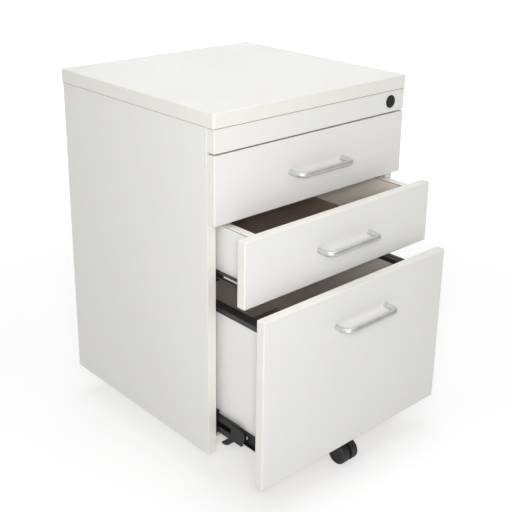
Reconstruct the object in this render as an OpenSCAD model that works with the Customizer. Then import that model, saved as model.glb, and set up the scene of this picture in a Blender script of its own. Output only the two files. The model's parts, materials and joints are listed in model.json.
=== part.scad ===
// Rolling pedestal cabinet: two box drawers over a deep file drawer.
// Millimetres, +Z up, +X to the right when the drawer fronts are faced, -Y towards the user.
// The origin lies on the floor, under the middle of the whole outline with the drawers as set below.

/* [Cabinet] */
// Width of the top panel
width = 465; // [420:1:520]
// Depth of the top panel
depth = 445; // [440:1:480]
// Height from the floor to the top
height = 685; // [680:1:720]
// Thickness of the top panel
top_t = 25; // [18:1:32]
// Thickness of the sides, bottom, rail and drawer fronts
board_t = 18; // [16:1:19]
// Overhang of the top past each side panel
side_over = 1.5; // [0:0.5:4]
// Corner radius of the top panel
corner_r = 4; // [1:1:8]

/* [Drawers] */
// How far drawer 1 stands open
open_1 = 0; // [0:1:300]
// How far drawer 2 stands open
open_2 = 73; // [0:1:300]
// How far the file drawer stands open
open_3 = 120; // [0:1:400]
// Height of the two box drawer fronts
box_front_h = 117.5; // [100:0.5:117.5]
// Thickness of the drawer sides and backs
drawer_t = 15; // [12:1:16]
// Front to back length of a drawer box
drawer_l = 400; // [380:5:400]

/* [Handles] */
// Distance between the feet of a handle
handle_c = 128; // [96:32:160]
// Diameter of the handle bar
handle_d = 9.5; // [8:0.5:12]
// From the drawer front to the middle of the bar
handle_reach = 29; // [25:1:35]
// Bend radius of the bar, at its middle
handle_bend = 13; // [10:1:16]

/* [Castors] */
// Diameter of the wheels
wheel_d = 40; // [38:1:40]
// Width across the two wheels of a castor
wheel_w = 41; // [38:1:44]
// Distance from the swivel to the axle
trail = 14; // [12:1:15]
// Distance of the swivels from the middle of the cabinet
castor_x = 116.5; // [80:0.5:150]
// Clearance of the fifth castor above the floor
fifth_lift = 1.5; // [1:0.5:3]

/* [Lock] */
// Lock position to the right of the middle
lock_x = 192; // [190:1:194]
// Diameter of the lock's face
lock_d = 24; // [20:1:26]

/* [Hidden] */
$fn = 48;
castor_h = 58.5;                        // floor to the underside of the cabinet
top_z = height - top_t;
side_x = width / 2 - side_over;         // outer face of a side panel
in_x = side_x - board_t;                // inner face of a side panel
front_y = 0.5;                          // face of the closed drawer fronts
front_b = front_y + board_t;            // back of the closed drawer fronts
car_y = front_b + 0.5;                  // front edge of the carcass
back_y = depth - 3;                     // rear face of the carcass
back_t = 16;
box_x = in_x - 12.7;                    // outer face of a drawer side
bin_x = box_x - drawer_t;               // inner face of a drawer side
rail_h = 40.5;
rail_z = top_z - rail_h;
d1_z1 = rail_z - 2.5;
d1_z0 = rail_z - 4 - box_front_h;
d2_z1 = d1_z0 - 3;
d2_z0 = d2_z1 - box_front_h;
d3_z1 = d2_z0 - 4;
d3_z0 = castor_h;
box_h = 96;                             // side height of a box drawer
box_up = 16.5;                          // box drawer's lower edge above its front's lower edge
d3_box0 = 94;
d3_box1 = 336;
run_l = 400;
lock_z = rail_z + rail_h / 2;
out_y = front_y - open_3 - handle_reach - handle_d / 2;
shift = -(depth + out_y) / 2;           // centres the outline front to back
handle_3_z = d3_z1 - 62.5;
zc = 116.5;                             // middle of the file runners
fr_y = 76.5;                            // front castor swivels
re_y = depth - 77;                      // rear castor swivels
fifth_y = front_b + 21;                 // fifth castor swivel, drawer closed
axle_r = 3;
bar_lift = 12;                          // travel of the lock bar

white = [0.93, 0.93, 0.91];
black = [0.10, 0.10, 0.11];

// ---------- helpers ----------

// Everything is drawn with Y = 0 at the front edge of the top, then moved to the frame's origin.
module place(open = 0) translate([0, shift - open, 0]) children();

// A box from its low corner to its high corner
module slab(a, b) translate(a) cube([b[0] - a[0], b[1] - a[1], b[2] - a[2]]);

// The same piece on the left and the right
module pair() { children(); mirror([1, 0, 0]) children(); }

// A cylinder along X from x0 to x1, or along Y from y0 to y1
module rod_x(x0, x1, y, z, r) translate([x0, y, z]) rotate([0, 90, 0]) cylinder(r = r, h = x1 - x0);
module rod_y(y0, y1, x, z, r) translate([x, y0, z]) rotate([-90, 0, 0]) cylinder(r = r, h = y1 - y0);

// Rounded rectangle from exact squares and circles
module round_rect(w, l, r) {
    translate([-w / 2 + r, 0]) square([w - 2 * r, l]);
    translate([-w / 2, r]) square([w, l - 2 * r]);
    for (x = [-w / 2 + r, w / 2 - r], y = [r, l - r]) translate([x, y]) circle(r = r);
}

// ---------- carcass ----------

module top_panel() color(white) place()
    difference() {
        translate([0, 0, top_z]) linear_extrude(top_t) round_rect(width, depth, corner_r);
        // blind holes for the bolts of the cam fittings
        for (s = [-1, 1], y = [70, depth - 75]) translate([s * (in_x + board_t / 2), y, top_z - 1]) cylinder(r = 2.6, h = 13);
    }

module side_panel() difference() {
    slab([in_x, car_y, castor_h], [side_x, back_y, top_z]);
    for (y = [70, depth - 75]) {
        rod_x(in_x - 1, in_x + 12.6, y, top_z - 34, 7.6);
        translate([in_x + board_t / 2, y, top_z - 34]) cylinder(r = 4.1, h = 40);
    }
    for (y = [60, 180, 400], z = runner_screw_z) rod_x(in_x - 1, in_x + 11, y, z, 1.6);
}
runner_screw_z = [d1_z0 + box_up + 5, d2_z0 + box_up + 5, zc];

module side_panel_left() color(white) place() mirror([1, 0, 0]) side_panel();

// The right panel is routed for the lock bar.
module side_panel_right() color(white) place() difference() {
    side_panel();
    slab([in_x - 1, 30, 110], [in_x + 8, 46, top_z + 1]);
}

module back_panel() color(white) place() slab([-in_x, back_y - back_t, castor_h], [in_x, back_y, top_z]);

module bottom_panel() color(white) place() difference() {
    slab([-in_x, 34.5, castor_h], [in_x, back_y - back_t, castor_h + board_t]);
    for (s = [-1, 1], y = [fr_y, re_y]) for (a = [-1, 1], b = [-1, 1])
        translate([s * castor_x + a * 15, y + b * 15, castor_h - 1]) cylinder(r = 1.6, h = 13);
}

module lock_rail() color(white) place() difference() {
    slab([-side_x, front_y + 0.5, rail_z], [side_x, car_y, top_z]);
    rod_y(-5, 30, lock_x, lock_z, 9.6);
}

// Zinc cam discs with a cross slot, and the bolts they draw down
module cam_locks() color([0.72, 0.72, 0.74]) place() pair() for (y = [70, depth - 75]) {
    difference() {
        rod_x(in_x + 0.2, in_x + 12.4, y, top_z - 34, 7.4);
        slab([in_x - 1, y - 5, top_z - 34.8], [in_x + 2.4, y + 5, top_z - 33.2]);
        slab([in_x - 1, y - 0.8, top_z - 39], [in_x + 2.4, y + 0.8, top_z - 29]);
        translate([in_x + board_t / 2, y, top_z - 34]) cylinder(r = 3, h = 12);
    }
    translate([in_x + board_t / 2, y, top_z - 32.5]) cylinder(r = 2.5, h = 44);
}

// Low head screw along +X into a side panel: head at x
module side_screw(x, y, z) {
    rod_x(x - 0.9, x, y, z, 3.4);
    rod_x(x, x + 11, y, z, 1.5);
}

module cabinet_screws() color([0.75, 0.75, 0.77]) place() {
    pair() {
        for (y = [60, 180, 400]) {
            side_screw(in_x - 1.25, y, runner_screw_z[0]);
            side_screw(in_x - 1.25, y, runner_screw_z[1]);
        }
        for (y = [60, 180, 400]) {
            rod_x(in_x - 2.3, in_x - 1.52, y, zc, 3.4);
            rod_x(in_x - 1.53, in_x + 10, y, zc, 1.5);
        }
    }
    for (s = [-1, 1], y = [fr_y, re_y]) for (a = [-1, 1], b = [-1, 1])
        translate([s * castor_x + a * 15, y + b * 15, castor_h - 4.6]) {
            cylinder(r = 3.2, h = 2.1);
            cylinder(r = 1.5, h = 15);
        }
}

// ---------- lock ----------

module lock_housing() color(black) place() difference() {
    union() {
        rod_y(-0.2, 1, lock_x, lock_z, lock_d / 2);
        rod_y(-1.2, 0, lock_x, lock_z, lock_d / 2 - 1);
        rod_y(0, 30, lock_x, lock_z, 9.5);
    }
    rod_y(-5, 35, lock_x, lock_z, 7.56);
}

module lock_barrel() color([0.2, 0.2, 0.21]) place() difference() {
    union() {
        rod_y(-1, 31, lock_x, lock_z, 7.5);
        translate([lock_x - 3, 30, lock_z - 3]) cube([6, 4.5, 6]);
    }
    translate([lock_x - 0.9, -3, lock_z - 3.6]) cube([1.8, 14, 7.2]);
}

// Disc with a drive pin, at 45 degrees up when unlocked
pin_r = 8.5;
pin_x = lock_x + pin_r * cos(45);
pin_z = lock_z + pin_r * sin(45);
module lock_cam() color([0.75, 0.75, 0.77]) place() {
    difference() {
        rod_y(31.2, 33.4, lock_x, lock_z, 12);
        translate([lock_x - 3.05, 30, lock_z - 3.05]) cube([6.1, 6, 6.1]);
    }
    rod_y(33.3, 39, pin_x, pin_z, 2);
}

// Flat bar in the routed groove, with a slotted arm behind the lock and a pin for each drawer
catch_z = [d1_z0 + 74.5, d2_z0 + 74.5, 152];   // underside of each drawer's catch
module lock_bar() color([0.7, 0.7, 0.72]) place() {
    slab([in_x + 1.2, 31, 140], [in_x + 7.2, 45, pin_z + 8]);
    difference() {
        slab([lock_x + 2, 35, pin_z - 7], [in_x + 2, 37.5, pin_z + 8]);
        slab([pin_x - 2.6, 34, pin_z - 2.45], [pin_x + 5.4, 39, pin_z + 2.45]);
    }
    for (z = catch_z) rod_x(box_x + 4.2, in_x + 2, 38, z + 20, 3);
}

// Hook block on the right hand side of a drawer
module catch(z) slab([box_x, 43, z], [box_x + 8.7, 49, z + 12]);

module drawer_1_lock_catch() color(black) place(open_1) catch(catch_z[0]);
module drawer_2_lock_catch() color(black) place(open_2) catch(catch_z[1]);
module file_drawer_lock_catch() color(black) place(open_3) catch(catch_z[2]);

// ---------- drawer boxes ----------

module drawer_front(z0, z1, hz) difference() {
    slab([-side_x, front_y, z0], [side_x, front_b, z1]);
    for (s = [-1, 1]) rod_y(front_y - 1, front_b + 1, s * handle_c / 2, hz, 2.3);
}

// Two sides, grooved for the bottom
module drawer_sides(z0, z1, gz, gt) pair() difference() {
    slab([bin_x, front_b, z0], [box_x, front_b + drawer_l, z1]);
    slab([bin_x - 1, front_b - 1, gz], [bin_x + 5, front_b + drawer_l - 5, gz + gt]);
}

module drawer_back(z0, z1) slab([-bin_x, front_b + drawer_l - drawer_t, z0], [bin_x, front_b + drawer_l, z1]);

module drawer_bottom(gz, gt) slab([-bin_x - 4.8, front_b, gz], [bin_x + 4.8, front_b + drawer_l - 5, gz + gt]);

// Bent round bar on two feet, tapped for the screws
module handle(hz) translate([0, 0, hz]) difference() {
    union() {
        pair() {
            rod_y(front_y - handle_reach + handle_bend, front_y, handle_c / 2, 0, handle_d / 2);
            translate([handle_c / 2 - handle_bend, front_y - handle_reach + handle_bend, 0])
                rotate([0, 0, -90]) rotate_extrude(angle = 90) translate([handle_bend, 0]) circle(d = handle_d);
        }
        rod_x(-handle_c / 2 + handle_bend, handle_c / 2 - handle_bend, front_y - handle_reach, 0, handle_d / 2);
    }
    for (s = [-1, 1]) rod_y(front_y - 12, front_y + 1, s * handle_c / 2, 0, 2.05);
}

module handle_screws(hz) for (s = [-1, 1]) difference() {
    union() {
        rod_y(front_y - 11, front_b, s * handle_c / 2, hz, 2);
        rod_y(front_b, front_b + 2.4, s * handle_c / 2, hz, 4);
    }
    slab([s * handle_c / 2 - 2.6, front_b + 1.2, hz - 0.5], [s * handle_c / 2 + 2.6, front_b + 3, hz + 0.5]);
    slab([s * handle_c / 2 - 0.5, front_b + 1.2, hz - 2.6], [s * handle_c / 2 + 0.5, front_b + 3, hz + 2.6]);
}

h1_z = d1_z0 + box_front_h / 2;
h2_z = (d2_z0 + d2_z1) / 2;

module drawer_1_front() color(white) place(open_1) drawer_front(d1_z0, d1_z1, h1_z);
module drawer_1_sides() color(white) place(open_1) drawer_sides(d1_z0 + box_up, d1_z0 + box_up + box_h, d1_z0 + box_up + 10, 3.5);
module drawer_1_back() color(white) place(open_1) drawer_back(d1_z0 + box_up + 13.5, d1_z0 + box_up + box_h);
module drawer_1_bottom() color([0.35, 0.31, 0.28]) place(open_1) drawer_bottom(d1_z0 + box_up + 10, 3.5);
module drawer_1_handle() color([0.7, 0.7, 0.71]) place(open_1) handle(h1_z);
module drawer_1_handle_screws() color([0.75, 0.75, 0.77]) place(open_1) handle_screws(h1_z);

module drawer_2_front() color(white) place(open_2) drawer_front(d2_z0, d2_z1, h2_z);
module drawer_2_sides() color(white) place(open_2) drawer_sides(d2_z0 + box_up, d2_z0 + box_up + box_h, d2_z0 + box_up + 10, 3.5);
module drawer_2_back() color(white) place(open_2) drawer_back(d2_z0 + box_up + 13.5, d2_z0 + box_up + box_h);
module drawer_2_bottom() color([0.35, 0.31, 0.28]) place(open_2) drawer_bottom(d2_z0 + box_up + 10, 3.5);
module drawer_2_handle() color([0.7, 0.7, 0.71]) place(open_2) handle(h2_z);
module drawer_2_handle_screws() color([0.75, 0.75, 0.77]) place(open_2) handle_screws(h2_z);

module file_drawer_front() color(white) place(open_3) difference() {
    drawer_front(d3_z0, d3_z1, handle_3_z);
    for (x = [-16, 16], z = [66, 88]) rod_y(front_b - 12, front_b + 1, x, z, 1.6);
}
module file_drawer_sides() color(white) place(open_3) drawer_sides(d3_box0, d3_box1, d3_box0 + 14, 5);
module file_drawer_back() color(white) place(open_3) drawer_back(d3_box0 + 19, d3_box1);
module file_drawer_bottom() color([0.35, 0.31, 0.28]) place(open_3) drawer_bottom(d3_box0 + 14, 5);
module file_drawer_handle() color([0.7, 0.7, 0.71]) place(open_3) handle(handle_3_z);
module file_drawer_handle_screws() color([0.75, 0.75, 0.77]) place(open_3) handle_screws(handle_3_z);

// Plastic channels clipped over the tops of the file drawer's sides, for hanging files
module filing_rails() color(black) place(open_3) pair() difference() {
    slab([bin_x - 2, front_b + 0.5, d3_box1 - 7.5], [box_x + 2, front_b + drawer_l - drawer_t - 0.5, d3_box1 + 2]);
    slab([bin_x - 0.3, front_b - 1, d3_box1 - 9], [box_x + 0.3, front_b + drawer_l, d3_box1]);
    slab([bin_x + 2.5, front_b - 1, d3_box1 + 1], [bin_x + 7.5, front_b + drawer_l, d3_box1 + 3]);
}

// ---------- roller runners of the box drawers ----------
// zb is the lower edge of the drawer's sides.

module cabinet_runners(zb) pair() difference() {
    union() {
        slab([in_x - 1.2, 21, zb - 3.2], [in_x, 21 + run_l, zb + 15.2]);
        slab([in_x - 9.5, 21, zb - 3.2], [in_x, 21 + run_l, zb - 2]);
        slab([in_x - 9.5, 21, zb + 14], [in_x, 21 + run_l, zb + 15.2]);
        slab([in_x - 9.5, 21, zb - 3.2], [in_x - 8.4, 21 + run_l, zb - 1]);
    }
    for (y = [60, 180, 400]) rod_x(in_x - 3, in_x + 1, y, zb + 5, 1.6);
}

module drawer_runners(zb) pair() {
    difference() {
        slab([box_x, front_b + 0.5, zb - 1.2], [box_x + 1.2, front_b + 386, zb + 12.4]);
        // long slot for the front screw
        slab([box_x - 1, 32, zb + 2.8], [box_x + 3, 86.5, zb + 9]);
    }
    slab([bin_x + 1, front_b + 0.5, zb - 1.2], [box_x + 0.5, front_b + 386, zb]);
    slab([box_x, front_b + 0.5, zb + 11.2], [box_x + 7.7, front_b + 370, zb + 12.4]);
}

// Nylon rollers: r = 6.4, the front pair on the cabinet, the rear pair on the drawer
module cabinet_rollers(zb) pair() difference() {
    rod_x(in_x - 8, in_x - 1.6, 31, zb + 4.6, 6.4);
    rod_x(in_x - 8.5, in_x - 6.8, 31, zb + 4.6, 4.6);
}
module rear_rollers(zb) pair() {
    rod_x(in_x - 8, in_x - 2.6, front_b + 378, zb + 4.6, 6.4);
    rod_x(box_x + 1.4, in_x - 7.9, front_b + 378, zb + 4.6, 2.2);
}

module drawer_1_cabinet_runners() color([0.12, 0.11, 0.11]) place() cabinet_runners(d1_z0 + box_up);
module drawer_1_runners() color([0.12, 0.11, 0.11]) place(open_1) drawer_runners(d1_z0 + box_up);
module drawer_1_cabinet_rollers() color([0.12, 0.12, 0.12]) place() cabinet_rollers(d1_z0 + box_up);
module drawer_1_rollers() color([0.12, 0.12, 0.12]) place(open_1) rear_rollers(d1_z0 + box_up);
module drawer_2_cabinet_runners() color([0.12, 0.11, 0.11]) place() cabinet_runners(d2_z0 + box_up);
module drawer_2_runners() color([0.12, 0.11, 0.11]) place(open_2) drawer_runners(d2_z0 + box_up);
module drawer_2_cabinet_rollers() color([0.12, 0.12, 0.12]) place() cabinet_rollers(d2_z0 + box_up);
module drawer_2_rollers() color([0.12, 0.12, 0.12]) place(open_2) rear_rollers(d2_z0 + box_up);

// ---------- ball bearing runners of the file drawer ----------
// u is the distance from the side panel; v is the height above the runner's middle.
mid_open = 0.6 * open_3;    // the middle member travels 0.6 of the drawer
cage_open = 0.3 * open_3;

module uv(u0, u1, y0, y1, v0, v1) slab([in_x - u1, y0, zc + v0], [in_x - u0, y1, zc + v1]);

// C channel: web at u0, flanges out to u1, half height h
module channel(u0, u1, y0, y1, h, t) {
    uv(u0, u0 + t, y0, y1, -h, h);
    uv(u0, u1, y0, y1, h - t, h);
    uv(u0, u1, y0, y1, -h, -h + t);
}

module file_runner_outer() color(black) place() pair() difference() {
    union() {
        channel(0, 10.5, 22, 22 + run_l, 21.8, 1.5);
        uv(9.2, 10.5, 22, 22 + run_l, 16.8, 21.8);
        uv(9.2, 10.5, 22, 22 + run_l, -21.8, -16.8);
    }
    for (y = [60, 180, 400]) rod_x(in_x - 3, in_x + 1, y, zc, 1.6);
}

module file_runner_middle() color(black) place(mid_open) pair() difference() {
    channel(3, 8.3, 28, 393, 17.4, 1.2);
    // long slots in the web
    for (y = [55.5, 150, 234]) slab([in_x - 5, y, zc - 5.3], [in_x - 2, y + 50, zc + 5.3]);
}

// A plate against the middle member's web, with a round nose in front of the web's end
module file_runner_end_caps() color([0.14, 0.14, 0.15]) place(mid_open) pair() {
    uv(2, 2.95, 27.9, 54, -16.2, 15.6);
    translate([in_x - 5.8, 0, zc]) rotate([90, 0, 90]) linear_extrude(3.8)
        polygon([[27.95, 13.2], [23.5, 11.6], [20.4, 9], [18.95, 5.7], [19.1, 1.5], [20.4, -2.8],
            [22.6, -7.2], [25.2, -11.4], [26.9, -14.2], [27.95, -15.4]]);
}

module file_runner_inner() color(black) place(open_3) pair() difference() {
    union() {
        uv(11.4, 12.7, 19.5, 399.5, -12.2, 12.2);
        uv(6.2, 12.7, 19.5, 399.5, 11, 12.2);
        uv(6.2, 12.7, 19.5, 399.5, -12.2, -11);
    }
    for (y = [70.7, 200, 380]) {
        rod_x(box_x - 1, box_x + 3, y, zc - 2.2, 2.3);
        slab([box_x - 1, y - 2.3, zc - 2.2], [box_x + 3, y + 2.3, zc + 1.6]);
        rod_x(box_x - 1, box_x + 3, y, zc + 1.6, 2.3);
    }
}

// Strips that hold the balls between the outer and the middle member
module file_runner_ball_cages() color([0.6, 0.6, 0.62]) place(cage_open) pair() for (s = [-1, 1]) {
    slab([in_x - 7.6, 180, zc + s * 18.85 - 0.35], [in_x - 3.4, 380, zc + s * 18.85 + 0.35]);
    for (i = [0 : 7]) translate([in_x - 5.5, 190 + i * 25, zc + s * 18.85]) sphere(r = 1.3, $fn = 24);
}

// ---------- castors ----------
// Drawn with the swivel at the origin and the wheels towards +Y.

module castor_wheels() {
    w = (wheel_w - 6.6) / 2;
    r = wheel_d / 2;
    for (s = [-1, 1]) translate([s * 3.3, trail, r]) rotate([0, s * 90, 0]) difference() {
        rotate_extrude($fn = 64) polygon([[3.03, 0], [r - 0.8, 0], [r, 0.8], [r, w - 4], [r - 1.1, w - 1.5], [r - 3.5, w],
            [r - 6, w - 0.4], [r - 7.5, w - 1.6], [0, w - 1.6], [0, w - 3.5], [3.03, w - 3.5]]);
    }
    rod_x(-3.3 - w + 3.6, 3.3 + w - 3.6, trail, r, axle_r);
}

// boss is the height of the swivel boss: the stem's bore runs down from it.
module castor_hood(boss) {
    r = wheel_d / 2;
    difference() {
        union() {
            // cover over the swivel's side of both wheels
            intersection() {
                rod_x(-wheel_w / 2, wheel_w / 2, trail, r, r + 3);
                slab([-30, -30, r - 6], [30, trail - 2, 80]);
            }
            // swivel boss
            translate([0, 0, r + 20.8]) cylinder(r = 8.5, h = boss - r - 20.8);
            // round web between the wheels
            rod_x(-2.7, 2.7, trail, r, r - 5);
        }
        // room for the wheels on each side of the centre web
        for (s = [-1, 1]) translate([s * 2.7, trail, r]) rotate([0, s * 90, 0]) cylinder(r = r + 0.9, h = 40);
        translate([0, 0, r + 21.6]) cylinder(r = 4.06, h = 40);
        rod_x(-5, 5, trail, r, axle_r + 0.06);
    }
}

module at_castor(i) place() translate([(i % 2 == 0 ? -1 : 1) * castor_x, i < 2 ? fr_y : re_y, 0]) children();
module at_fifth() place(open_3) translate([0, fifth_y, fifth_lift]) mirror([0, 1, 0]) children();

// Screwed plates, each with a fixed stem
module castor_plates() color([0.72, 0.72, 0.74]) for (i = [0 : 3]) at_castor(i) difference() {
    union() {
        translate([-21, -21, castor_h - 2.5]) cube([42, 42, 2.5]);
        translate([0, 0, wheel_d / 2 + 22.5]) cylinder(r = 4, h = castor_h - wheel_d / 2 - 23);
    }
    for (a = [-1, 1], b = [-1, 1]) translate([a * 15, b * 15, castor_h - 4]) cylinder(r = 1.7, h = 6);
}

module castor_front_left_hood() color(black) at_castor(0) castor_hood(castor_h - 3.5);
module castor_front_left_wheels() color(black) at_castor(0) castor_wheels();
module castor_front_right_hood() color(black) at_castor(1) castor_hood(castor_h - 3.5);
module castor_front_right_wheels() color(black) at_castor(1) castor_wheels();
module castor_rear_left_hood() color(black) at_castor(2) castor_hood(castor_h - 3.5);
module castor_rear_left_wheels() color(black) at_castor(2) castor_wheels();
module castor_rear_right_hood() color(black) at_castor(3) castor_hood(castor_h - 3.5);
module castor_rear_right_wheels() color(black) at_castor(3) castor_wheels();
module fifth_castor_hood() color(black) at_fifth() castor_hood(48);
module fifth_castor_wheels() color(black) at_fifth() castor_wheels();

// Angle bracket behind the file drawer's front: its foot passes under the cabinet's bottom
brk_z = 50;
module fifth_castor_bracket() color(black) place(open_3) difference() {
    union() {
        slab([-24, front_b, brk_z], [24, front_b + 41, brk_z + 2.5]);
        slab([-24, front_b, brk_z], [24, front_b + 2.5, 100]);
        for (x = [-24, 21.5]) translate([x, 0, 0]) rotate([90, 0, 90]) linear_extrude(2.5)
            polygon([[front_b + 2, brk_z + 2], [front_b + 14, brk_z + 2], [front_b + 2, brk_z + 26]]);
    }
    translate([0, fifth_y, brk_z - 1]) cylinder(r = 4.06, h = 5);
    for (x = [-16, 16], z = [66, 88]) rod_y(front_b - 1, front_b + 4, x, z, 1.7);
}

// Hex bolt that carries the castor, and the bracket's four screws
module fifth_castor_fixings() color([0.72, 0.72, 0.74]) place(open_3) {
    translate([0, fifth_y, 0]) {
        translate([0, 0, brk_z + 2.5]) cylinder(r = 7.2, h = 4, $fn = 6);
        translate([0, 0, fifth_lift + wheel_d / 2 + 22.2]) cylinder(r = 4, h = brk_z + 3 - fifth_lift - wheel_d / 2 - 22.2);
    }
    for (x = [-16, 16], z = [66, 88]) {
        rod_y(front_b - 11, front_b + 2.6, x, z, 1.5);
        rod_y(front_b + 2.5, front_b + 4.6, x, z, 3.2);
    }
}

top_panel();
side_panel_left();
side_panel_right();
back_panel();
bottom_panel();
lock_rail();
cam_locks();
cabinet_screws();
lock_housing();
lock_barrel();
lock_cam();
lock_bar();
drawer_1_front();
drawer_1_sides();
drawer_1_back();
drawer_1_bottom();
drawer_1_handle();
drawer_1_handle_screws();
drawer_1_lock_catch();
drawer_2_front();
drawer_2_sides();
drawer_2_back();
drawer_2_bottom();
drawer_2_handle();
drawer_2_handle_screws();
drawer_2_lock_catch();
file_drawer_front();
file_drawer_sides();
file_drawer_back();
file_drawer_bottom();
file_drawer_handle();
file_drawer_handle_screws();
file_drawer_lock_catch();
drawer_1_cabinet_runners();
drawer_1_runners();
drawer_1_cabinet_rollers();
drawer_1_rollers();
drawer_2_cabinet_runners();
drawer_2_runners();
drawer_2_cabinet_rollers();
drawer_2_rollers();
file_runner_outer();
file_runner_middle();
file_runner_end_caps();
file_runner_inner();
file_runner_ball_cages();
filing_rails();
castor_plates();
castor_front_left_hood();
castor_front_left_wheels();
castor_front_right_hood();
castor_front_right_wheels();
castor_rear_left_hood();
castor_rear_left_wheels();
castor_rear_right_hood();
castor_rear_right_wheels();
fifth_castor_hood();
fifth_castor_wheels();
fifth_castor_bracket();
fifth_castor_fixings();
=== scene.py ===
import json
import math

import bmesh
import bpy
from mathutils import Matrix, Vector


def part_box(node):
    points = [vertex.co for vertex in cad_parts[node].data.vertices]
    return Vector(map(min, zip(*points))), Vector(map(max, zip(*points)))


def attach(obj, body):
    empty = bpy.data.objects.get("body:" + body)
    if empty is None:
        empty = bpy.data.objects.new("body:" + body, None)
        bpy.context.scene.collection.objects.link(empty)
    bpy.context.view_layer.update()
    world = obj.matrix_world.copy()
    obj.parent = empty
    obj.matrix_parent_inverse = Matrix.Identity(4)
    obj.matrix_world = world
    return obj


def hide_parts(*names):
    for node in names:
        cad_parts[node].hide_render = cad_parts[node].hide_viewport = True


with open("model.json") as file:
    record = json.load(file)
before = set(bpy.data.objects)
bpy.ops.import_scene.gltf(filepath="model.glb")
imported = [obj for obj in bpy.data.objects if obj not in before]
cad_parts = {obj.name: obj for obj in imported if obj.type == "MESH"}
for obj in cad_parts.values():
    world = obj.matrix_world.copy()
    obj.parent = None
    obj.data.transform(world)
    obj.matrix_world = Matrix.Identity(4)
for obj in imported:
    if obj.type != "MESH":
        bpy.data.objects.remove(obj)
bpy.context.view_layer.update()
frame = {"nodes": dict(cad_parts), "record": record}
nodes = frame["nodes"]
body_name = {n: b for b, ns in frame["record"]["behaviour"]["bodies"].items() for n in ns}
MM = 0.001

# ------------------------------------------------------------------ camera

CAM_F = 911.74          # focal length in pixels of a 512 x 512 image
CAM_C = (256.0, 200.0)  # where the camera's axis meets the image
CAM_R = (1.9159, -0.0367, 0.7055)
CAM_T = (0.0984491, 0.4627852, 1.7733184)
CAM_Y0 = 0.145875       # the fit was made with Y = 0 at the top's front edge


def make_camera():
    rx, ry, rz = CAM_R
    m_z = Matrix.Rotation(rz, 3, "Z")
    m_x = Matrix.Rotation(rx, 3, "X")
    m_y = Matrix.Rotation(ry, 3, "Y")
    r = m_y @ m_x @ m_z
    place = -(r.transposed() @ Vector(CAM_T)) + Vector((0, -CAM_Y0, 0))
    data = bpy.data.cameras.new("camera")
    data.sensor_fit = "HORIZONTAL"
    data.sensor_width = 36.0
    data.lens = CAM_F / 512.0 * 36.0
    data.shift_x = (256.0 - CAM_C[0]) / 512.0
    data.shift_y = (CAM_C[1] - 256.0) / 512.0
    data.clip_start, data.clip_end = 0.05, 60.0
    cam = bpy.data.objects.new("camera", data)
    bpy.context.scene.collection.objects.link(cam)
    cam.matrix_world = Matrix((
        (r[0][0], -r[1][0], -r[2][0], place.x),
        (r[0][1], -r[1][1], -r[2][1], place.y),
        (r[0][2], -r[1][2], -r[2][2], place.z),
        (0, 0, 0, 1)))
    bpy.context.scene.camera = cam
    return cam


make_camera()

# --------------------------------------------------------------- materials


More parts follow.
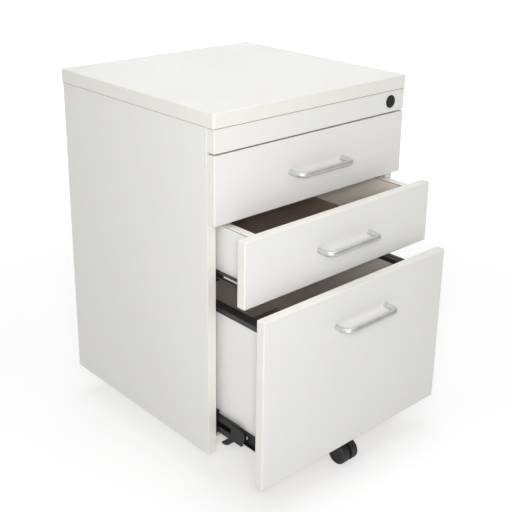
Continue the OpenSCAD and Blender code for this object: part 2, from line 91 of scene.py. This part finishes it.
class Mat:
    """A small builder for node materials in object coordinates, metres."""

    def __init__(self, name, **sockets):
        self.m = bpy.data.materials.new(name)
        self.m.use_nodes = True
        self.t = self.m.node_tree
        self.t.nodes.clear()
        self.out = self.add("ShaderNodeOutputMaterial")
        self.bsdf = self.add("ShaderNodeBsdfPrincipled")
        self.link(self.bsdf.outputs["BSDF"], self.out.inputs["Surface"])
        for k, v in sockets.items():
            self.bsdf.inputs[k.replace("_", " ")].default_value = v
        self.co = self.add("ShaderNodeTexCoord").outputs["Object"]

    def add(self, kind, **props):
        n = self.t.nodes.new(kind)
        for k, v in props.items():
            setattr(n, k, v)
        return n

    def link(self, a, b):
        self.t.links.new(a, b)

    def put(self, value, socket):
        if isinstance(value, (int, float)):
            socket.default_value = value
        elif isinstance(value, (tuple, list)):
            socket.default_value = (*value, 1.0) if len(value) == 3 and len(socket.default_value) == 4 else value
        else:
            self.link(value, socket)

    def stretch(self, scale):
        n = self.add("ShaderNodeMapping")
        n.inputs["Scale"].default_value = scale
        self.link(self.co, n.inputs["Vector"])
        return n.outputs["Vector"]

    def noise(self, scale, detail=3.0, rough=0.55, vector=None, distortion=0.0):
        n = self.add("ShaderNodeTexNoise")
        n.inputs["Scale"].default_value = scale
        n.inputs["Detail"].default_value = detail
        n.inputs["Roughness"].default_value = rough
        n.inputs["Distortion"].default_value = distortion
        self.link(vector or self.co, n.inputs["Vector"])
        return n.outputs["Fac"]

    def cells(self, scale, vector=None, feature="F1"):
        n = self.add("ShaderNodeTexVoronoi", feature=feature)
        n.inputs["Scale"].default_value = scale
        self.link(vector or self.co, n.inputs["Vector"])
        return n.outputs["Distance"]

    def remap(self, value, a, b, c, d):
        n = self.add("ShaderNodeMapRange")
        self.put(value, n.inputs["Value"])
        for k, v in (("From Min", a), ("From Max", b), ("To Min", c), ("To Max", d)):
            n.inputs[k].default_value = v
        return n.outputs["Result"]

    def mix(self, fac, a, b, blend="MIX"):
        n = self.add("ShaderNodeMix", data_type="RGBA", blend_type=blend)
        self.put(fac, n.inputs["Factor"])
        self.put(a, n.inputs["A"] if n.inputs["A"].type == "RGBA" else n.inputs[6])
        self.put(b, n.inputs["B"] if n.inputs["B"].type == "RGBA" else n.inputs[7])
        return [o for o in n.outputs if o.type == "RGBA"][0]

    def ramp(self, value, stops):
        n = self.add("ShaderNodeValToRGB")
        e = n.color_ramp.elements
        while len(e) < len(stops):
            e.new(0.5)
        for s, (p, c) in zip(e, stops):
            s.position = p
            s.color = (*c, 1.0)
        self.link(value, n.inputs["Fac"])
        return n.outputs["Color"]

    def math(self, op, a, b=0.0):
        n = self.add("ShaderNodeMath", operation=op)
        self.put(a, n.inputs[0])
        self.put(b, n.inputs[1])
        return n.outputs[0]

    def bump(self, height, distance, strength=1.0, before=None):
        n = self.add("ShaderNodeBump")
        n.inputs["Strength"].default_value = strength
        n.inputs["Distance"].default_value = distance
        self.link(height, n.inputs["Height"])
        if before is not None:
            self.link(before, n.inputs["Normal"])
        return n.outputs["Normal"]

    def colour(self, value):
        self.put(value, self.bsdf.inputs["Base Color"])

    def rough(self, value):
        self.link(value, self.bsdf.inputs["Roughness"])

    def normal(self, value):
        self.link(value, self.bsdf.inputs["Normal"])


def melamine(name, base, deep, grain=(70.0, 70.0, 4.0), r0=0.34, r1=0.46):
    """White melamine faced board: very faint vertical grain, soft mottling, and a fine pearl surface."""
    m = Mat(name, Specular_IOR_Level=0.42)
    cloud = m.noise(5.0, 4.0, 0.6)
    streak = m.noise(1.0, 5.0, 0.65, m.stretch(grain))
    speck = m.noise(900.0, 2.0, 0.5)
    mixed = m.math("ADD", m.math("MULTIPLY", streak, 0.22), m.math("MULTIPLY", cloud, 0.48))
    mixed = m.math("ADD", mixed, m.math("MULTIPLY", speck, 0.3))
    m.colour(m.mix(m.remap(mixed, 0.34, 0.66, 0.0, 1.0), deep, base))
    m.rough(m.remap(m.noise(14.0, 3.0, 0.6), 0.3, 0.7, r0, r1))
    pearl = m.bump(m.cells(1500.0, feature="SMOOTH_F1"), 0.00006, 0.5)
    m.normal(m.bump(m.noise(60.0, 2.0, 0.5), 0.0002, 0.12, pearl))
    return m.m


def edge_band(name, base, deep):
    """Plastic edge band: warmer than the board's face, smoother, with small scuffs where hands and shoes meet it."""
    m = Mat(name, Specular_IOR_Level=0.45)
    cloud = m.noise(26.0, 4.0, 0.6)
    scuff = m.noise(160.0, 5.0, 0.7, m.stretch((1.0, 1.0, 0.35)))
    tone = m.mix(m.remap(cloud, 0.35, 0.65, 0.0, 1.0), deep, base)
    m.colour(m.mix(m.remap(scuff, 0.68, 0.82, 0.0, 0.16), tone, (0.56, 0.53, 0.47)))
    m.rough(m.math("ADD", m.remap(cloud, 0.3, 0.7, 0.28, 0.38), m.remap(scuff, 0.64, 0.8, 0.0, 0.15)))
    m.normal(m.bump(m.noise(420.0, 3.0, 0.6), 0.00005, 0.4))
    return m.m


def hardboard(name):
    """Drawer bottom: brown-black faced hardboard with short fibres."""
    m = Mat(name, Specular_IOR_Level=0.35)
    fibre = m.noise(1.0, 6.0, 0.7, m.stretch((900.0, 160.0, 900.0)))
    cloud = m.noise(18.0, 4.0, 0.6)
    both = m.math("ADD", m.math("MULTIPLY", fibre, 0.6), m.math("MULTIPLY", cloud, 0.4))
    m.colour(m.ramp(m.remap(both, 0.35, 0.65, 0.0, 1.0), (
        (0.0, (0.34, 0.255, 0.215)), (0.55, (0.41, 0.31, 0.264)), (1.0, (0.47, 0.362, 0.314)))))
    m.rough(m.remap(cloud, 0.3, 0.7, 0.5, 0.68))
    m.normal(m.bump(fibre, 0.0001, 0.5))
    return m.m


def painted_shade_brown(name):
    """Painted shade: a brown material for dark lines at joints, gaps and under edges. It goes on the side panels' and
    lock rail's top edges, under the lock rail and just under the drawer sides' top edges.
    """
    m = Mat(name, Specular_IOR_Level=0.2)
    fibre = m.noise(1.0, 5.0, 0.7, m.stretch((1500.0, 220.0, 1500.0)))
    m.colour(m.mix(m.remap(fibre, 0.35, 0.65, 0.0, 1.0), (0.30, 0.18, 0.11), (0.46, 0.31, 0.20)))
    m.rough(m.remap(fibre, 0.3, 0.7, 0.7, 0.9))
    m.normal(m.bump(fibre, 0.00015, 0.6))
    return m.m


def satin_metal(name):
    """Matt silver handle: satin plated, with a fine grain and a few rubbed places."""
    m = Mat(name, Metallic=0.7, Specular_IOR_Level=0.5)
    grain = m.noise(2600.0, 2.0, 0.5)
    cloud = m.noise(60.0, 4.0, 0.6)
    m.colour(m.mix(m.remap(cloud, 0.35, 0.65, 0.0, 1.0), (0.60, 0.60, 0.60), (0.68, 0.68, 0.68)))
    m.rough(m.math("ADD", m.remap(cloud, 0.3, 0.7, 0.37, 0.47), m.remap(grain, 0.3, 0.7, -0.03, 0.05)))
    m.normal(m.bump(grain, 0.00004, 0.5))
    return m.m


def plastic(name, low, high, r0=0.38, r1=0.52, texture=1400.0, dust=None, shine=0.5):
    """Moulded black plastic with a spark-eroded texture, and a little pale dust where dust is given."""
    m = Mat(name, Specular_IOR_Level=shine)
    cloud = m.noise(35.0, 4.0, 0.6)
    fine = m.noise(texture, 2.0, 0.5)
    tone = m.mix(m.remap(cloud, 0.35, 0.65, 0.0, 1.0), low, high)
    if dust:
        tone = m.mix(m.remap(m.noise(260.0, 6.0, 0.75), 0.56, 0.74, 0.0, dust), tone, (0.16, 0.15, 0.14))
    m.colour(tone)
    m.rough(m.math("ADD", m.remap(cloud, 0.3, 0.7, r0, r1), m.remap(fine, 0.3, 0.7, -0.03, 0.04)))
    m.normal(m.bump(fine, 0.00005, 0.6))
    return m.m


def coated_steel(name, low, high, wear=0.25):
    """Dark coated steel strip: orange peel, with grey rubbed spots."""
    m = Mat(name, Specular_IOR_Level=0.36, Metallic=0.1)
    cloud = m.noise(40.0, 4.0, 0.6)
    rub = m.noise(1.0, 5.0, 0.7, m.stretch((500.0, 60.0, 500.0)))
    tone = m.mix(m.remap(cloud, 0.35, 0.65, 0.0, 1.0), low, high)
    m.colour(m.mix(m.remap(rub, 0.6, 0.78, 0.0, wear), tone, (0.22, 0.21, 0.20)))
    m.rough(m.math("ADD", m.remap(cloud, 0.3, 0.7, 0.36, 0.48), m.remap(rub, 0.5, 0.75, 0.0, -0.08)))
    m.normal(m.bump(m.noise(700.0, 2.0, 0.5), 0.00006, 0.5))
    return m.m


def zinc(name):
    """Bright zinc plating with a bluish to straw drift and fine scratches."""
    m = Mat(name, Metallic=1.0)
    cloud = m.noise(70.0, 5.0, 0.65)
    scratch = m.noise(1.0, 4.0, 0.7, m.stretch((2400.0, 240.0, 900.0)))
    m.colour(m.ramp(m.remap(cloud, 0.3, 0.7, 0.0, 1.0), (
        (0.0, (0.50, 0.51, 0.53)), (0.5, (0.60, 0.60, 0.60)), (1.0, (0.64, 0.61, 0.53)))))
    m.rough(m.math("ADD", m.remap(cloud, 0.3, 0.7, 0.24, 0.38), m.remap(scratch, 0.4, 0.7, 0.0, 0.12)))
    m.normal(m.bump(scratch, 0.00003, 0.5))
    return m.m


FACE = melamine("white_melamine", (0.838, 0.832, 0.806), (0.818, 0.811, 0.784))
EDGE = edge_band("cream_edge_band", (0.846, 0.834, 0.782), (0.826, 0.812, 0.756))
# Inner faces of drawer sides and backs: the white melamine made warmer and browner, partly the board's own white and
# partly a painted shade tint for the shaded drawer insides
INNER = melamine("inner_melamine_shade_tint", (0.85, 0.788, 0.72), (0.825, 0.76, 0.69), r0=0.42, r1=0.55)
BOTTOM = hardboard("brown_hardboard")
# Painted shade: the brown used for the dark joint and gap lines of the boards
SHADE_BROWN = painted_shade_brown("brown_painted_shade")
METAL = satin_metal("satin_metal")
BLACK = plastic("black_plastic", (0.010, 0.010, 0.011), (0.019, 0.018, 0.019), 0.42, 0.56, shine=0.36)
HOOD = plastic("castor_plastic", (0.012, 0.012, 0.013), (0.020, 0.020, 0.021), 0.34, 0.48)
TYRE = plastic("wheel_plastic", (0.014, 0.013, 0.013), (0.026, 0.025, 0.024), 0.42, 0.6, 900.0, dust=0.3)
LOCK = plastic("lock_black", (0.007, 0.007, 0.008), (0.013, 0.013, 0.014), 0.34, 0.46, shine=0.3)
RAIL = plastic("rail_plastic", (0.036, 0.035, 0.037), (0.052, 0.050, 0.054), 0.36, 0.5)
RUNNER = coated_steel("black_coated_steel", (0.009, 0.009, 0.009), (0.020, 0.019, 0.019), wear=0.18)
ROLLER_RUNNER = coated_steel("brown_coated_steel", (0.018, 0.015, 0.014), (0.040, 0.034, 0.031))
ZINC = zinc("zinc_plated_steel")

# ------------------------------------------------------------ mesh helpers


def cad_mesh(node):
    """The CAD node's own mesh, welded and with its flat faces whole again."""
    bm = bmesh.new()
    bm.from_mesh(nodes[node].data)
    bmesh.ops.remove_doubles(bm, verts=bm.verts, dist=2e-6)
    bmesh.ops.dissolve_limit(bm, angle_limit=math.radians(0.6), verts=bm.verts, edges=bm.edges)
    return bm


def islands(bm):
    """Lists of vertices, one list for each solid."""
    left, out = set(bm.verts), []
    while left:
        seed = left.pop()
        group, todo = [seed], [seed]
        while todo:
            for e in todo.pop().link_edges:
                for v in e.verts:
                    if v in left:
                        left.remove(v)
                        group.append(v)
                        todo.append(v)
        out.append(group)
    return out


def limits(verts):
    lo = Vector([min(v.co[k] for v in verts) for k in range(3)])
    hi = Vector([max(v.co[k] for v in verts) for k in range(3)])
    return lo, hi


def finish_piece(bm, name, body, replaced, mats, angle=35.0, weighted=True):
    bmesh.ops.recalc_face_normals(bm, faces=bm.faces)
    me = bpy.data.meshes.new(name)
    bm.to_mesh(me)
    bm.free()
    for m in mats:
        me.materials.append(m)
    me.polygons.foreach_set("use_smooth", [True] * len(me.polygons))
    me.set_sharp_from_angle(angle=math.radians(angle))
    obj = bpy.data.objects.new(name, me)
    bpy.context.scene.collection.objects.link(obj)
    if weighted:
        mod = obj.modifiers.new("weighted", "WEIGHTED_NORMAL")
        mod.keep_sharp = True
        mod.weight = 100
    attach(obj, body)
    if replaced:
        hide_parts(*replaced)
    return obj


def on_box_edge(e, lo, hi, tol=2e-5):
    """True if an edge lies along an edge of the box."""
    hits = 0
    for k in range(3):
        a, b = e.verts[0].co[k], e.verts[1].co[k]
        if (abs(a - lo[k]) < tol and abs(b - lo[k]) < tol) or (abs(a - hi[k]) < tol and abs(b - hi[k]) < tol):
            hits += 1
    return hits == 2


def board(node, r, band=(), name=None, face=None, edge=None, shade_line_z=None, shade_top=0.0, shade_under=False, outer=None):
    """A faced board with rounded edges. band names the sides that carry an edge band, such as -y or +z: their strip is
    cut into the faces too. Brown painted shade strips can go along the top edge, on the underside, and as a line under
    the top edge on the faces towards -x.
    """
    face, edge = face or FACE, edge or EDGE
    bm = cad_mesh(node)
    boxes = []
    for verts in islands(bm):
        lo, hi = limits(verts)
        boxes.append((lo, hi))
    picked = [e for e in bm.edges for lo, hi in boxes
              if on_box_edge(e, lo, hi) and len(e.link_faces) == 2
              and not (shade_top and all(abs(v.co.z - hi.z) < 2e-5 for v in e.verts))]
    bmesh.ops.bevel(bm, geom=list(dict.fromkeys(picked)), offset=r, offset_type="OFFSET", segments=3, profile=0.5,
                    affect="EDGES", clamp_overlap=False)
    strip = 2.0 * MM
    thin = min(range(3), key=lambda k: boxes[0][1][k] - boxes[0][0][k])
    for lo, hi in boxes:
        for b in band:
            k = "xyz".index(b[1])
            if k == thin:
                continue
            at = lo[k] + strip if b[0] == "-" else hi[k] - strip
            co, no = Vector((0, 0, 0)), Vector((0, 0, 0))
            co[k], no[k] = at, 1
            mine = [v for v in bm.verts if all(lo[j] - 1e-4 < v.co[j] < hi[j] + 1e-4 for j in range(3))]
            geom = mine + list({e for v in mine for e in v.link_edges}) + list({f for v in mine for f in v.link_faces})
            bmesh.ops.bisect_plane(bm, geom=geom, plane_co=co, plane_no=no, dist=1e-7)
    # Painted shade: a brown strip is cut along the board's top edge, for the dark joint line under the top panel; those
    # top edges are left unrounded
    if shade_top:
        shade_line_z = (boxes[0][1].z - shade_top, boxes[0][1].z + MM)
    if shade_line_z:
        for at in shade_line_z:
            bmesh.ops.bisect_plane(bm, geom=bm.verts[:] + bm.edges[:] + bm.faces[:], plane_co=(0, 0, at), plane_no=(0, 0, 1), dist=1e-7)
    for f in bm.faces:
        c = f.calc_center_median()
        lo, hi = next(((a, b) for a, b in boxes if all(a[j] - 1e-4 < c[j] < b[j] + 1e-4 for j in range(3))), boxes[0])
        f.material_index = 1
        if abs(f.normal[thin]) > 0.999:
            inside = True
            for b in band:
                k = "xyz".index(b[1])
                if k == thin:
                    continue
                if (b[0] == "-" and c[k] < lo[k] + strip) or (b[0] == "+" and c[k] > hi[k] - strip):
                    inside = False
            if inside:
                f.material_index = 0
        if outer and f.material_index == 0 and f.normal.x * c.x > 0:
            f.material_index = 3
        # Painted shade: a brown line a little under the top edge, only on the faces that look towards -x, for the dark
        # shade line under a drawer side's top edge
        if shade_line_z and not shade_top and f.normal.x < -0.99 and min(shade_line_z) < c.z < max(shade_line_z):
            f.material_index = 2
        # Painted shade: the brown strip along the top edge
        if shade_top and c.z > shade_line_z[0] - 1e-6:
            f.material_index = 2
        # Painted shade: a brown underside, which darkens the gap below the board
        if shade_under and f.normal.z < -0.999:
            f.material_index = 2
    mats = [face, edge, SHADE_BROWN] + ([outer] if outer else [])
    return finish_piece(bm, name or node.replace("_panel", "") + "_board", body_name[node], [node], mats)


def eased(node, r, mats, name=None, least=3.0, angle=40.0, segments=2):
    """A CAD node with its long straight arrises eased."""
    bm = cad_mesh(node)
    picked = []
    for e in bm.edges:
        if len(e.link_faces) != 2 or e.calc_length() < least * MM:
            continue
        if e.calc_face_angle(0.0) > math.radians(angle):
            picked.append(e)
    bmesh.ops.bevel(bm, geom=picked, offset=r * MM, offset_type="OFFSET", segments=segments, profile=0.5,
                    affect="EDGES", clamp_overlap=False)
    return finish_piece(bm, name or node + "_eased", body_name[node], [node], mats)


def dress(node, *mats):
    """Gives a CAD node, whose shape stays, its material."""
    me = nodes[node].data
    me.materials.clear()
    for m in mats:
        me.materials.append(m)


def lathe(bm, profile, centre, axis, steps=72, start=None):
    """Turns a closed profile of (distance along axis, radius) pairs about a line through centre. Radii of zero close on the axis."""
    axis = Vector(axis).normalized()
    side = Vector((0, 0, 1)) if abs(axis.z) < 0.9 else Vector((1, 0, 0))
    u = (side - axis * side.dot(axis)).normalized()
    w = axis.cross(u)
    rings = []
    for a, r in profile:
        if r < 1e-7:
            rings.append([bm.verts.new(Vector(centre) + axis * a)])
        else:
            rings.append([bm.verts.new(Vector(centre) + axis * a + (u * math.cos(t) + w * math.sin(t)) * r)
                          for t in (2 * math.pi * i / steps for i in range(steps))])
    faces = []
    for a, b in zip(rings, rings[1:]):
        for i in range(steps):
            j = (i + 1) % steps
            if len(a) == 1 and len(b) == 1:
                break
            if len(a) == 1:
                faces.append(bm.faces.new((a[0], b[i], b[j])))
            elif len(b) == 1:
                faces.append(bm.faces.new((a[i], b[0], a[j])))
            else:
                faces.append(bm.faces.new((a[i], b[i], b[j], a[j])))
    return faces


# ------------------------------------------------------------------ boards

# Top: the whole rim is banded, and its upright corners are rounded already.


def make_top():
    bm = cad_mesh("top_panel")
    lo, hi = limits(bm.verts)
    picked = []
    for e in bm.edges:
        if len(e.link_faces) != 2 or e.calc_face_angle(0.0) < math.radians(50):
            continue
        zs = [v.co.z for v in e.verts]
        level = all(abs(z - hi.z) < 1e-5 for z in zs) or all(abs(z - lo.z) < 1e-5 for z in zs)
        rim = all(min(v.co.x - lo.x, hi.x - v.co.x, v.co.y - lo.y, hi.y - v.co.y) < 4.1 * MM for v in e.verts)
        if level and rim:
            picked.append(e)
    bmesh.ops.bevel(bm, geom=picked, offset=1.6 * MM, offset_type="OFFSET", segments=3, profile=0.5,
                    affect="EDGES", clamp_overlap=False)
    for f in bm.faces:
        f.material_index = 0 if abs(f.normal.z) > 0.999 else 1
    return finish_piece(bm, "top_board", "cabinet", ["top_panel"], [FACE, EDGE])


make_top()
# Painted shade: a brown strip along the side panels' top edges, for the dark joint line under the top panel
board("side_panel_left", 0.0008, ("-y",), shade_top=0.0008)
board("side_panel_right", 0.0008, ("-y",), shade_top=0.0008)
board("back_panel", 0.0006)
board("bottom_panel", 0.0008, ("-y",))
# Painted shade: a brown strip along the lock rail's top edge and a brown underside, for the dark joint under the top
# panel and the dark gap above drawer 1
board("lock_rail", 0.001, ("-z", "-x", "+x"), shade_top=0.0008, shade_under=True)
for d in ("drawer_1", "drawer_2", "file_drawer"):
    board(f"{d}_front", 0.0018, ("-x", "+x", "-z", "+z"))
    # Drawers 1 and 2 get a brown painted shade line just under their sides' top edge, on the faces towards -x
    lo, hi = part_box(f"{d}_sides")
    # The sides' outward faces take the white melamine, their inward faces the browner painted shade copy
    board(f"{d}_sides", 0.0006, (), face=INNER, edge=EDGE, outer=FACE,
          shade_line_z=(hi[2] - 2.6 * MM, hi[2] - 1.2 * MM) if d != "file_drawer" else None)
    board(f"{d}_back", 0.0006, (), face=INNER, edge=EDGE)
    board(f"{d}_bottom", 0.0002, (), face=BOTTOM, edge=BOTTOM)

# ----------------------------------------------------------- carried nodes

for d in ("drawer_1", "drawer_2", "file_drawer"):
    dress(f"{d}_handle", METAL)
    dress(f"{d}_handle_screws", ZINC)
    eased(f"{d}_lock_catch", 0.6, [BLACK])
for n in ("cam_locks", "cabinet_screws", "lock_cam", "lock_bar", "castor_plates", "fifth_castor_fixings"):
    dress(n, ZINC)
dress("file_runner_ball_cages", ZINC)
eased("lock_barrel", 0.25, [LOCK], least=0.3)
for d in ("drawer_1", "drawer_2"):
    eased(f"{d}_cabinet_runners", 0.3, [ROLLER_RUNNER], least=4.0)
    eased(f"{d}_runners", 0.3, [ROLLER_RUNNER], least=4.0)
    eased(f"{d}_cabinet_rollers", 0.5, [BLACK], least=0.2)
    dress(f"{d}_rollers", BLACK)
eased("filing_rails", 0.35, [RAIL])
eased("file_runner_outer", 0.3, [RUNNER], least=4.0)
eased("file_runner_middle", 0.25, [RUNNER], least=4.0)
eased("file_runner_inner", 0.25, [RUNNER], least=6.0)
eased("file_runner_end_caps", 0.4, [BLACK])
eased("fifth_castor_bracket", 0.4, [RUNNER], least=6.0)


# Lock housing: a bezel with a rolled rim on a plain barrel tube.


def make_lock_housing():
    lo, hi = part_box("lock_housing")
    bore = 7.57 * MM
    centre = Vector(((lo.x + hi.x) / 2, lo.y, (lo.z + hi.z) / 2))
    rim = (hi.x - lo.x) / 2
    length = hi.y - lo.y
    profile = [(0.25 * MM, bore), (0.05 * MM, bore + 0.15 * MM), (0.0, bore + 0.45 * MM), (0.0, rim - 2.6 * MM),
               (0.08 * MM, rim - 1.8 * MM), (0.3 * MM, rim - 1.05 * MM), (0.65 * MM, rim - 0.45 * MM),
               (1.05 * MM, rim - 0.1 * MM), (1.35 * MM, rim), (2.2 * MM, rim), (2.2 * MM, 9.5 * MM),
               (length - 0.4 * MM, 9.5 * MM), (length, 9.2 * MM), (length, bore), (0.25 * MM, bore)]
    bm = bmesh.new()
    lathe(bm, profile, centre, (0, 1, 0), steps=96)
    bmesh.ops.remove_doubles(bm, verts=bm.verts, dist=1e-7)
    return finish_piece(bm, "lock_bezel", body_name["lock_housing"], ["lock_housing"], [LOCK], angle=40)


make_lock_housing()

# Castors: twin wheels with rounded shoulders, a raised rim and a hub cap, on a common axle.


def make_wheels(c):
    lo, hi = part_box(f"{c}_wheels")
    centre = (lo + hi) / 2
    r, half = (hi.z - lo.z) / 2, (hi.x - lo.x) / 2
    inner = 3.3 * MM
    profile = [(inner, 3.05 * MM), (inner, r - 1.5 * MM), (inner + 0.25 * MM, r - 0.7 * MM), (inner + 0.75 * MM, r - 0.15 * MM),
               (inner + 1.4 * MM, r), (half - 4.6 * MM, r), (half - 3.2 * MM, r - 0.22 * MM), (half - 2.1 * MM, r - 0.75 * MM),
               (half - 1.2 * MM, r - 1.6 * MM), (half - 0.55 * MM, r - 2.7 * MM), (half - 0.15 * MM, r - 3.9 * MM),
               (half, r - 5.0 * MM), (half, r - 6.2 * MM), (half - 0.2 * MM, r - 6.6 * MM), (half - 1.3 * MM, r - 7.0 * MM),
               (half - 1.6 * MM, r - 7.6 * MM), (half - 1.7 * MM, 7.6 * MM), (half - 1.5 * MM, 7.1 * MM),
               (half - 0.9 * MM, 6.8 * MM), (half - 0.7 * MM, 6.2 * MM), (half - 0.6 * MM, 3.0 * MM), (half - 0.55 * MM, 0.0)]
    bm = bmesh.new()
    for side in (-1, 1):
        lathe(bm, profile, centre, (side, 0, 0), steps=96)
    lathe(bm, [(-half + 5 * MM, 0.0), (-half + 5 * MM, 3.0 * MM), (half - 5 * MM, 3.0 * MM), (half - 5 * MM, 0.0)], centre, (1, 0, 0), steps=40)
    return finish_piece(bm, f"{c}_twin_wheels", body_name[f"{c}_wheels"], [f"{c}_wheels"], [TYRE], angle=32)


for c in ("castor_front_left", "castor_front_right", "castor_rear_left", "castor_rear_right", "fifth_castor"):
    eased(f"{c}_hood", 0.55, [HOOD], least=0.2, angle=38)
    make_wheels(c)

# ------------------------------------------------------- floor and lights


# A pale sheet lit from below as well as from above, as a studio light table is
FLOOR_WHITE = 0.55
FLOOR_GLOW = 0.89
WORLD = 0.28
KEY, TOP, LENS, REAR = 11.2, 42.0, 13.2, 9.5


def make_floor():
    bm = bmesh.new()
    bmesh.ops.create_grid(bm, x_segments=8, y_segments=8, size=9.0)
    me = bpy.data.meshes.new("floor")
    bm.to_mesh(me)
    bm.free()
    m = Mat("pale_floor", Specular_IOR_Level=0.1)
    cloud = m.noise(1.2, 3.0, 0.5)
    m.colour(m.mix(m.remap(cloud, 0.35, 0.65, 0.0, 1.0), (FLOOR_WHITE - 0.006,) * 3, (FLOOR_WHITE + 0.006,) * 3))
    m.rough(m.remap(cloud, 0.3, 0.7, 0.75, 0.85))
    # Painted shadow: the glow is weaker within about 2.6 m of the middle, so the sheet is greyer round the object, a
    # soft painted shadow pool, and throws back less light on the object's low parts
    far = m.add("ShaderNodeVectorMath", operation="LENGTH")
    m.link(m.co, far.inputs[0])
    glow = m.remap(far.outputs["Value"], 0.55, 2.6, 0.0, 1.0)
    glow.node.interpolation_type = "SMOOTHSTEP"
    m.link(m.mix(glow, (0.5,) * 3, (1.0,) * 3), m.bsdf.inputs["Emission Color"])
    # The sheet looks whiter than the light that it throws back on the object
    ray = m.add("ShaderNodeLightPath").outputs["Is Camera Ray"]
    m.link(m.remap(ray, 0.0, 1.0, FLOOR_GLOW * 0.62, FLOOR_GLOW * 1.12), m.bsdf.inputs["Emission Strength"])
    me.materials.append(m.m)
    obj = bpy.data.objects.new("floor", me)
    bpy.context.scene.collection.objects.link(obj)


def area(name, at, target, size, power, colour=(1.0, 1.0, 1.0)):
    data = bpy.data.lights.new(name, "AREA")
    data.shape = "RECTANGLE"
    data.size, data.size_y = size
    data.energy = power
    data.color = colour
    obj = bpy.data.objects.new(name, data)
    bpy.context.scene.collection.objects.link(obj)
    obj.location = at
    obj.rotation_mode = "QUATERNION"
    obj.rotation_quaternion = (Vector(target) - Vector(at)).to_track_quat("-Z", "Y")
    return obj


make_floor()
world = bpy.data.worlds.new("studio")
bpy.context.scene.world = world
world.use_nodes = True
world.node_tree.nodes["Background"].inputs["Color"].default_value = (1.0, 1.0, 1.0, 1.0)
world.node_tree.nodes["Background"].inputs["Strength"].default_value = WORLD
# Seen directly, as above the floor in a low view, the surroundings are a pale backdrop
backdrop = world.node_tree.nodes.new("ShaderNodeBackground")
backdrop.inputs["Color"].default_value = (1.0, 1.0, 1.0, 1.0)
ray = world.node_tree.nodes.new("ShaderNodeLightPath")
choose = world.node_tree.nodes.new("ShaderNodeMixShader")
world.node_tree.links.new(ray.outputs["Is Camera Ray"], choose.inputs[0])
world.node_tree.links.new(world.node_tree.nodes["Background"].outputs[0], choose.inputs[1])
world.node_tree.links.new(backdrop.outputs[0], choose.inputs[2])
world.node_tree.links.new(choose.outputs[0], world.node_tree.nodes["World Output"].inputs["Surface"])
area("key", (-1.5, -1.7, 1.9), (0.0, -0.1, 0.4), (1.4, 1.4), KEY)
area("top_soft", (0.2, 0.2, 3.0), (0.0, 0.0, 0.4), (2.4, 2.4), TOP)
area("lens_soft", (-1.16, -1.27, 1.09), (0.0, -0.1, 0.36), (0.34, 0.34), LENS)
area("rear_soft", (1.9, 2.2, 0.95), (0.0, 0.0, 0.3), (1.8, 1.2), REAR)

bpy.context.scene.view_settings.view_transform = "Standard"
bpy.context.scene.view_settings.look = "None"
